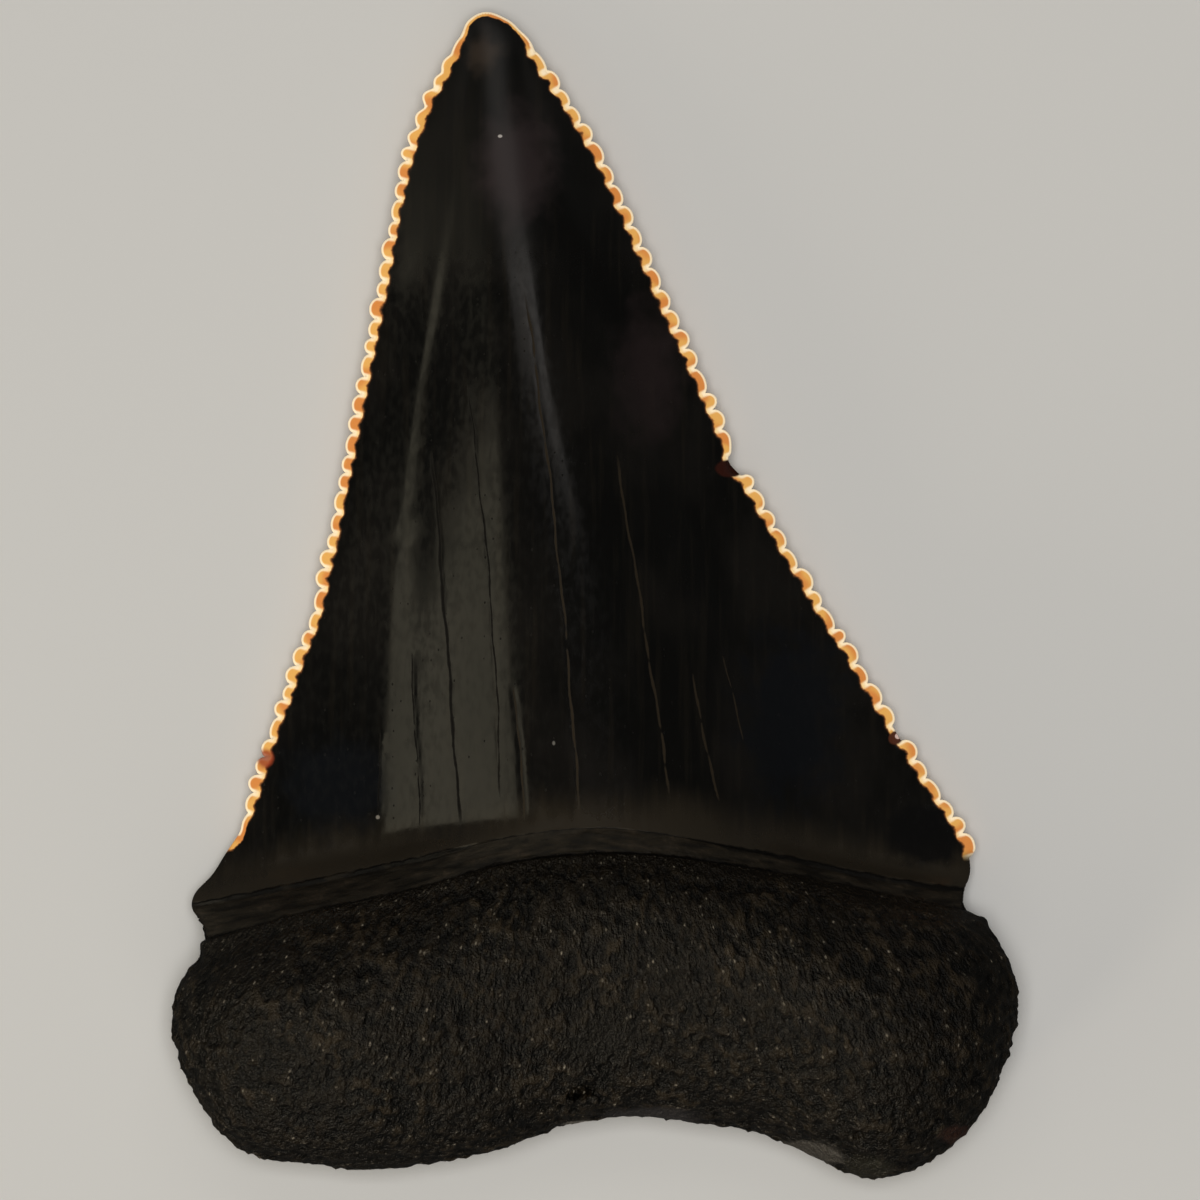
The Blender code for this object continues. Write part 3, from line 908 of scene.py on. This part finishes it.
def edge_depth(tree, come, place):
    """How deep in the ribbon a place lies, which decides its colour."""
    wide = cloud(tree, come["Place"], (0.45, 0.45, 0), 2)
    fine = cloud(tree, come["Place"], (3.5, 3.5, 0), 2)
    bead = reckon(tree, "ADD", come["Inside Row"], BEAD_DEPTH)
    below_tip = both(tree, fall(tree, place[1], *BEADS_BELOW), BEAD_SHARE)
    depth = between_values(tree, below_tip, come["Distance"], bead)
    for field, drift in ((wide, DRIFT), (fine, FINE_DRIFT)):
        depth = reckon(tree, "ADD", depth, reckon(tree, "MULTIPLY_ADD", field, drift, -drift / 2))
    left_end = both(tree, fall(tree, place[1], *THIN_LEFT_END), fall(tree, place[0], -1, 1))
    thin = between_values(tree, rise(tree, place[1], *THIN_TIP), 1, THIN_SHARE)
    return reckon(tree, "DIVIDE", depth, between_values(tree, left_end, thin, THIN_SHARE))


def edge_group():
    inlets = {"Place": "Vector", "Distance": "Float", "Inside Row": "Float",
              "Beside Notch": "Float", "Ends": "Float"}
    outlets = {"Color": "Color", "Glow": "Color", "Mask": "Float"}
    tree, come, go = new_group("cutting edge", inlets, outlets)
    depth = edge_depth(tree, come, parts_of(tree, come["Place"]))
    warmth = rise(tree, cloud(tree, come["Place"], (0.7, 0.7, 0), 1), 0.42, 0.6)
    # These colours are painted light through the thin edge, and the Glow output is the same painted
    # light as emission.
    heart = blend(tree, warmth, EDGE_GLOW_OCHRE, EDGE_GLOW_ORANGE)
    core = both(tree, rise(tree, come["Distance"], *RIM_LINE),
                rise(tree, come["Beside Notch"], *NOTCH_LINE))
    colour = blend(tree, rise(tree, depth, *PALE_FROM), EDGE_GLOW_CREAM, EDGE_GLOW_PALE)
    colour = blend(tree, core, colour, heart)
    colour = blend(tree, rise(tree, depth, *GLOW_RED_BROWN_FROM), colour, EDGE_GLOW_RED_BROWN)
    colour = blend(tree, rise(tree, depth, *BROWN_FROM), colour, EDGE_BROWN)
    mask = both(tree, fall(tree, depth, RIBBON - RIBBON_FADE, RIBBON), come["Ends"])
    shining = both(tree, mask, fall(tree, depth, *GLOW_END))
    feed(tree, go["Color"], colour)
    feed(tree, go["Mask"], mask)
    feed(tree, go["Glow"], blend(tree, shining, (0.0, 0.0, 0.0), colour))
    return tree


cutting_edge = edge_group()
print("nodes in the cutting edge:", len(cutting_edge.nodes))

# %% [markdown]
# ## Enamel
#
# Fossil enamel is a thin glassy coat over dark mineral. Its colour is nearly
# black, with faint streaks that run down the crown, and it turns brown-olive
# towards its foot. Its gloss is even but not perfect: dust, pits and a few fine
# scratches roughen it, and the tip is worn duller than the rest.

# %% Group: enamel
ENAMEL_BLACK, ENAMEL_GREY = (0.0022, 0.0021, 0.0018), (0.0065, 0.0056, 0.0046)
ENAMEL_OLIVE = (0.024, 0.0185, 0.0115)
CLEAN, DUSTY, PITTED, WORN_DULL, FOOT_DULL = 0.14, 0.26, 0.8, 0.4, 0.5
WORN_TIP = (14.5, 20.0)
PITS_FROM, PITS_TO, MORE_PITS = (16, 19), (23, 25), 0.25
CLOUD_WANDER, STREAK_WANDER = 3.2, 1.6


def enamel_group():
    inlets = {"Place": "Vector", "Above Foot": "Float"}
    tree, come, go = new_group("fossil enamel", inlets, {"Color": "Color", "Roughness": "Float"})
    streaks = cloud(tree, come["Place"], (2.6, 0.12, 0.5), 2)
    clouds = cloud(tree, come["Place"], (0.22, 0.16, 0.2), 3)
    fine = cloud(tree, come["Place"], (9, 0.5, 2), 1)
    colour = blend(tree, rise(tree, clouds, 0.38, 0.68), ENAMEL_BLACK, ENAMEL_GREY)
    colour = blend(tree, both(tree, rise(tree, streaks, 0.5, 0.72), 0.14), colour, ENAMEL_OLIVE)
    low = come["Above Foot"]
    for field, wander in ((clouds, CLOUD_WANDER), (streaks, STREAK_WANDER)):
        low = reckon(tree, "MULTIPLY_ADD", reckon(tree, "SUBTRACT", field, 0.5), wander, low)
    colour = blend(tree, both(tree, fall(tree, low, 0.3, 2.6), 0.8), colour, ENAMEL_OLIVE)
    scratch = rise(tree, fine, 0.64, 0.78)
    dust = cloud(tree, come["Place"], (3.2, 1.7, 2), 2)
    rough = between_values(tree, rise(tree, dust, 0.35, 0.7), CLEAN, DUSTY)
    inlets = {"Vector": come["Place"], "Scale": (2.6, 1.9, 2)}
    pits = put(tree, "ShaderNodeMapping", inlets).outputs[0]
    pits = put(tree, "ShaderNodeTexVoronoi", {"Vector": pits, "Scale": 1.0}).outputs
    chance = put(tree, "ShaderNodeSeparateColor", {0: pits["Color"]}).outputs[0]
    up = parts_of(tree, come["Place"])[1]
    worn = both(tree, rise(tree, up, *PITS_FROM), fall(tree, up, *PITS_TO))
    chance = reckon(tree, "MULTIPLY_ADD", worn, MORE_PITS, chance)
    pit = both(tree, fall(tree, pits["Distance"], 0.07, 0.16), rise(tree, chance, 0.72, 0.8))
    rough = between_values(tree, pit, rough, PITTED)
    rough = between_values(tree, both(tree, scratch, 0.25), rough, WORN_DULL)
    rough = between_values(tree, both(tree, fall(tree, low, 0, 1.6), 0.6), rough, FOOT_DULL)
    rough = between_values(tree, rise(tree, up, *WORN_TIP), rough, WORN_DULL)
    feed(tree, go["Color"], colour)
    feed(tree, go["Roughness"], rough)
    return tree


enamel = enamel_group()
print("nodes in the enamel:", len(enamel.nodes))

# %% [markdown]
# ## Porous root
#
# The root's colour follows its relief: dark in the pores, a worn brown on top of
# the grain, and small pale mineral specks, painted bright as glints of light, a
# painted highlight. Finer grain than the mesh can hold comes from bump, along the
# same fan of fibres.

# %% Group: porous root
ROOT_DARK, ROOT_BROWN = (0.001, 0.0008, 0.0005), (0.0058, 0.004, 0.0021)
ROOT_WORN, ROOT_PALE_GLINT = (0.024, 0.0165, 0.0085), (0.22, 0.19, 0.14)
ROOT_DULL, PALE_GLINT_DULL = 0.34, 0.22
GRAIN_SHADE = 0.16
GRAIN_BUMP, FINE_BUMP = 0.34, 0.1


def root_group():
    inlets = {"Place": "Vector", "Relief": "Float"}
    outlets = {"Color": "Color", "Roughness": "Float", "Height": "Float"}
    tree, come, go = new_group("porous root", inlets, outlets)
    place = parts_of(tree, come["Place"])
    down = reckon(tree, "SUBTRACT", FAN_CENTRE[1], place[1])
    turn = reckon(tree, "MULTIPLY", reckon(tree, "ARCTAN2", place[0], down), FAN_RADIUS)
    squares = both(tree, place[0], place[0]), both(tree, down, down)
    reach = reckon(tree, "SQRT", reckon(tree, "ADD", *squares))
    fibres = put(tree, "ShaderNodeCombineXYZ", {0: turn, 1: reach, 2: place[2]}).outputs[0]
    grain = cloud(tree, fibres, (4.6, 2.2, 3), 3)
    fine = cloud(tree, come["Place"], (9, 9, 9), 1)
    patches = cloud(tree, come["Place"], (0.3, 0.3, 0.3), 2)
    uneven = reckon(tree, "SUBTRACT", grain, 0.5)
    height = reckon(tree, "MULTIPLY_ADD", uneven, GRAIN_SHADE, come["Relief"])
    colour = blend(tree, rise(tree, height, -0.07, 0.01), ROOT_DARK, ROOT_BROWN)
    worn = both(tree, rise(tree, height, 0.005, 0.06), rise(tree, patches, 0.3, 0.7))
    colour = blend(tree, worn, colour, ROOT_WORN)
    colour = blend(tree, both(tree, rise(tree, fine, 0.55, 0.75), 0.3), colour, ROOT_WORN)
    # Pale mineral specks, painted bright as glints of light: a painted highlight.
    grains = put(tree, "ShaderNodeMapping", {"Vector": fibres, "Scale": (4.4, 2.6, 4.4)}).outputs[0]
    grains = put(tree, "ShaderNodeTexVoronoi", {"Vector": grains, "Scale": 1.0}).outputs
    chance = put(tree, "ShaderNodeSeparateColor", {0: grains["Color"]}).outputs[0]
    pale_glint = both(tree, rise(tree, chance, 0.64, 0.95), fall(tree, grains["Distance"], 0.08, 0.36),
                   rise(tree, height, -0.03, 0.05))
    colour = blend(tree, pale_glint, colour, ROOT_PALE_GLINT)
    feed(tree, go["Color"], colour)
    feed(tree, go["Roughness"], between_values(tree, pale_glint, ROOT_DULL, PALE_GLINT_DULL))
    bump = reckon(tree, "MULTIPLY_ADD", grain, GRAIN_BUMP, both(tree, fine, FINE_BUMP))
    feed(tree, go["Height"], bump)
    return tree


porous = root_group()
print("nodes in the porous root:", len(porous.nodes))

# %% [markdown]
# ## Neck band
#
# The band between enamel and root is bare dentine. It has the root's browns
# without its pores, in streaks along the band, so its noise is laid out on the
# height above the enamel's foot instead of on the plain place.

# %% Group: neck band
BAND_DARK, BAND_BROWN = (0.004, 0.003, 0.0018), (0.012, 0.009, 0.0052)
BAND_LIGHT = (0.026, 0.0185, 0.011)
STREAK_BUMP, BAND_FINE_BUMP = 0.09, 0.035


def band_group():
    inlets = {"Place": "Vector", "Above Foot": "Float"}
    tree, come, go = new_group("neck band", inlets, {"Color": "Color", "Height": "Float"})
    across = parts_of(tree, come["Place"])[0]
    laid = put(tree, "ShaderNodeCombineXYZ", {0: across, 1: come["Above Foot"], 2: 0.0}).outputs[0]
    streaks = cloud(tree, laid, (0.7, 3.4, 1), 3)
    fine = cloud(tree, come["Place"], (3.5, 3.5, 3.5), 2)
    colour = blend(tree, rise(tree, streaks, 0.35, 0.55), BAND_DARK, BAND_BROWN)
    light = both(tree, rise(tree, streaks, 0.52, 0.7), rise(tree, fine, 0.35, 0.6))
    feed(tree, go["Color"], blend(tree, light, colour, BAND_LIGHT))
    bump = reckon(tree, "MULTIPLY_ADD", streaks, STREAK_BUMP, both(tree, fine, BAND_FINE_BUMP))
    feed(tree, go["Height"], bump)
    return tree


neck_band = band_group()
print("nodes in the neck band:", len(neck_band.nodes))

# %% [markdown]
# ## Stains, paler zones, painted sheen and shade, and chips
#
# Each of these is one ragged spot: bluish and purplish clouds and pale flecks on
# the enamel, two of the purplish clouds also a painted sheen and one fleck a
# painted highlight, stained and worn places on the root and one patch of painted
# shade on it, and the chips and the red stain of the cutting edge. Lists of spots
# are quicker to move about than nodes.

# %% Zones: middle, reach, fray, softness, colour and strength
ZONES = (
    ((-12.9, -9.4), (3.6, 3.0), 0.9, 0.6, (0.004, 0.0047, 0.006), 0.85),
    ((9.8, -6.0), (3.6, 5.6), 1.0, 0.6, (0.0035, 0.0042, 0.0055), 0.85),
    ((16.6, -11.9), (2.2, 1.9), 0.7, 0.35, (0.003, 0.0028, 0.0028), 0.9),
    # The next two purplish clouds are the enamel's own purple-brown with a painted sheen in it: the
    # soft reflection near the tip and the pale band right of the middle.
    ((-3.9, 21.5), (2.7, 3.9), 0.7, 0.7, (0.030, 0.021, 0.021), 0.75),
    ((2.6, 11.0), (2.3, 4.6), 0.8, 0.7, (0.020, 0.013, 0.013), 0.6),
    ((-5.6, 27.2), (1.3, 1.4), 1.2, 0.9, (0.034, 0.024, 0.017), 0.85),
    ((-2.0, -7.2), (0.1, 0.14), 0.5, 0.6, (0.16, 0.15, 0.13), 0.8),
    ((-10.8, -11.0), (0.13, 0.13), 0.5, 0.4, (0.25, 0.22, 0.18), 0.9),
    # A small bright spot near the tip is a painted highlight.
    ((-4.7, 22.9), (0.14, 0.1), 0.4, 0.4, (0.5, 0.46, 0.42), 0.9),
)
ROOT_ZONES = (
    # The first spot darkens the shallow hollow above the arch: painted shade.
    ((0.3, -21.8), (2.6, 1.7), 0.9, 0.6, (0.006, 0.005, 0.0035), 0.7),
    ((2.9, -25.9), (3.0, 0.8), 0.6, 0.5, (0.050, 0.044, 0.046), 0.6),
    ((10.7, -27.7), (1.9, 0.8), 0.7, 0.35, (0.085, 0.075, 0.062), 0.8),
    ((-0.6, -26.3), (1.1, 0.35), 0.8, 0.4, (0.22, 0.20, 0.17), 0.8),
    ((17.9, -26.7), (1.1, 0.7), 0.8, 0.5, (0.045, 0.016, 0.009), 0.7),
    ((13.6, -28.4), (1.5, 0.9), 0.8, 0.5, (0.030, 0.027, 0.017), 0.7),
)
EDGE_ZONES = (
    ((6.75, 6.4), (0.75, 0.5), 0.4, 0.25, (0.03, 0.007, 0.004), 1.0),
    ((15.1, -7.1), (0.42, 0.4), 0.5, 0.3, (0.10, 0.03, 0.015), 1.0),
    ((15.2, -7.0), (0.17, 0.17), 0.2, 0.3, (0.85, 0.62, 0.55), 1.0),
    ((-16.5, -8.1), (0.5, 0.6), 0.6, 0.5, (0.42, 0.07, 0.025), 0.9),
)


def lay_zones(tree, place, frayed, colour, zones, where=None):
    """The colour with each zone of a list laid over it."""
    for middle, reach, fray, softness, tint, strength in zones:
        mask = use(tree, spot, {"Place": place, "Middle": (*middle, 0), "Reach": (*reach, 1),
                                "Fray": fray, "Softness": softness, "Cloud": frayed})["Mask"]
        mask = both(tree, mask, strength) if where is None else both(tree, mask, strength, where)
        colour = blend(tree, mask, colour, tint)
    return colour


print("ragged spots:", len(ZONES), len(ROOT_ZONES), len(EDGE_ZONES))

# %% [markdown]
# ## Dark and tan lines
#
# The cracks of the enamel are tan, and dark on the left, where they cross the pale
# reflection of the left wall: that dark is painted shade. A thin dark line of
# painted shade runs in the gap under the enamel's foot, and another in the cut
# along the ledge of the root. Both come and go with a slow noise, because an even
# line would look drawn.

# %% Cracks, gap and lip
CRACK_TAN, SHADE_LINE_DARK = (0.024, 0.017, 0.0095), (0.0025, 0.002, 0.0015)
TAN_FROM = (-5.0, -3.5)
FOOT_WANDER, LEDGE_WANDER = 0.8, 2.0
FOOT_SHADE_MIDDLE, FOOT_SHADE_WIDTH = 0.05, (0.03, 0.12)
LEDGE_SHADE_WIDTH, LEDGE_SHADE_SHARE = (0.03, 0.14), 0.7


def crack_mask(tree, place):
    jitter, swell = cloud(tree, place, (5, 4, 0), 2), cloud(tree, place, (0.3, 1.0, 0), 1)
    cracked = 0.0
    for top, bottom, bow, width in CRACKS:
        inlets = {"Place": place, "Top": (*top, 0), "Bottom": (*bottom, 0), "Bow": bow,
                  "Width": width, "Jitter": jitter, "Swell": swell}
        cracked = reckon(tree, "MAXIMUM", cracked, use(tree, hairline, inlets)["Mask"])
    return cracked


# Painted shade: a thin dark line in the gap under the enamel's step, and another in the cut along
# the root's ledge.
def painted_shade_lines(tree, place, foot, ledge, waver):
    torn = rise(tree, cloud(tree, place, (0.8, 0.8, 0.8), 1), 0.3, 0.44)
    ragged = reckon(tree, "MULTIPLY_ADD", waver, FOOT_WANDER, foot)
    to_gap = reckon(tree, "ABSOLUTE", reckon(tree, "ADD", ragged, FOOT_SHADE_MIDDLE))
    to_lip = reckon(tree, "ABSOLUTE", reckon(tree, "ADD", ledge, waver))
    gap = both(tree, fall(tree, to_gap, *FOOT_SHADE_WIDTH), torn)
    return reckon(tree, "MAXIMUM", gap, both(tree, fall(tree, to_lip, *LEDGE_SHADE_WIDTH), torn, LEDGE_SHADE_SHARE))


print("masks of the cracks, the gap and the lip are ready")

# %% [markdown]
# ## One finish for the whole tooth
#
# A tooth has no seams between its materials, so it gets one material. The
# measured attributes decide what shows where: enamel above the foot, band down
# to the ledge, root below. Stains, painted sheen, highlight and shade, and cracks
# lie over that, and the cutting edge with its painted glow over all. Numbers that
# are the same everywhere sit on the shader's own sockets. The glow is a colour
# more than a lamp, so the renderer need not aim at it.

# %% Finish
WAVER = 0.22
CRACK_DULL, BAND_DULL, RIBBON_DULL = 0.95, 0.62, 0.42
RIBBON_END = (-13.3, -12.6)
GLOW = 0.35


def enamel_look(tree, place, foot, frayed, upper):
    """Colour and roughness of the enamel with its stains, painted sheen and highlight, and cracks
    with painted shade.
    """
    coat = use(tree, enamel, {"Place": place, "Above Foot": foot})
    colour = lay_zones(tree, place, frayed, coat["Color"], ZONES, upper)
    cracked = both(tree, crack_mask(tree, place), upper)
    towards_right = rise(tree, parts_of(tree, place)[0], *TAN_FROM)
    # Tan cracks, painted dark on the left as painted shade where they cross the pale reflection.
    colour = blend(tree, cracked, colour, blend(tree, towards_right, SHADE_LINE_DARK, CRACK_TAN))
    return colour, between_values(tree, cracked, coat["Roughness"], CRACK_DULL)


def edge_look(tree, place, frayed, colour, edge, row, beside):
    """Colour, glow and mask of the cutting edge over the colour of the rest."""
    ends = rise(tree, parts_of(tree, place)[1], *RIBBON_END)
    blade = use(tree, cutting_edge, {"Place": place, "Distance": edge, "Inside Row": row,
                                     "Beside Notch": beside, "Ends": ends})
    colour = blend(tree, blade["Mask"], colour, blade["Color"])
    dark_zones = [(*zone[:4], (0.0, 0.0, 0.0), zone[5]) for zone in EDGE_ZONES]
    return (lay_zones(tree, place, frayed, colour, EDGE_ZONES),
            lay_zones(tree, place, frayed, blade["Glow"], dark_zones), blade["Mask"])


def fossil_finish():
    finish = bpy.data.materials.new("fossil_tooth")
    finish.use_nodes = True
    finish.cycles.emission_sampling = "NONE"
    tree = finish.node_tree
    shader = tree.nodes["Principled BSDF"]
    place = put(tree, "ShaderNodeTexCoord", {}).outputs["Object"]
    inlets = {0: place, "Scale": 1 / MM}
    place = put(tree, "ShaderNodeVectorMath", inlets, operation="SCALE").outputs[0]
    foot, ledge, edge, row, beside, relief = (
        put(tree, "ShaderNodeAttribute", {}, attribute_name=name).outputs["Fac"]
        for name in ("foot", "ledge", "edge", "row", "beside", "relief"))
    facing = parts_of(tree, put(tree, "ShaderNodeNewGeometry", {}).outputs["Normal"])
    upper = rise(tree, facing[2], -0.1, 0.1)
    frayed = cloud(tree, place, (0.9, 0.9, 0.9), 2)
    waver = reckon(tree, "MULTIPLY_ADD", cloud(tree, place, (1.4, 1.4, 1.4), 2), WAVER, -WAVER / 2)
    below_foot = fall(tree, reckon(tree, "MULTIPLY_ADD", waver, FOOT_WANDER, foot), -0.05, 0.02)
    below_ledge = fall(tree, reckon(tree, "MULTIPLY_ADD", waver, LEDGE_WANDER, ledge), -0.12, 0.1)

    colour, rough = enamel_look(tree, place, foot, frayed, upper)
    neck = use(tree, neck_band, {"Place": place, "Above Foot": foot})
    bone = use(tree, porous, {"Place": place, "Relief": relief})
    bone_colour = lay_zones(tree, place, frayed, bone["Color"], ROOT_ZONES, upper)
    colour = blend(tree, below_foot, colour, neck["Color"])
    colour = blend(tree, below_ledge, colour, bone_colour)
    # The lines of painted shade at the enamel's step and the root's ledge.
    colour = blend(tree, painted_shade_lines(tree, place, foot, ledge, waver), colour, SHADE_LINE_DARK)
    rough = between_values(tree, below_foot, rough, BAND_DULL)
    rough = between_values(tree, below_ledge, rough, bone["Roughness"])
    colour, glow, ribbon = edge_look(tree, place, frayed, colour, edge, row, beside)
    feed(tree, shader.inputs["Base Color"], colour)
    feed(tree, shader.inputs["Roughness"], between_values(tree, ribbon, rough, RIBBON_DULL))
    feed(tree, shader.inputs["Emission Color"], glow)
    shader.inputs["Emission Strength"].default_value = GLOW

    height = both(tree, below_foot, neck["Height"])
    height = between_values(tree, below_ledge, height, bone["Height"])
    bump = put(tree, "ShaderNodeBump", {"Height": height, "Distance": MM, "Strength": 1.0})
    feed(tree, shader.inputs["Normal"], bump.outputs["Normal"])
    return finish


finish = fossil_finish()
tooth.data.materials.clear()
tooth.data.materials.append(finish)
print("nodes in the finish:", len(finish.node_tree.nodes))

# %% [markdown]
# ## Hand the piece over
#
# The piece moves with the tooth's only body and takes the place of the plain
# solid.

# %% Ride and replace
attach(tooth, "root")
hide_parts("tooth")
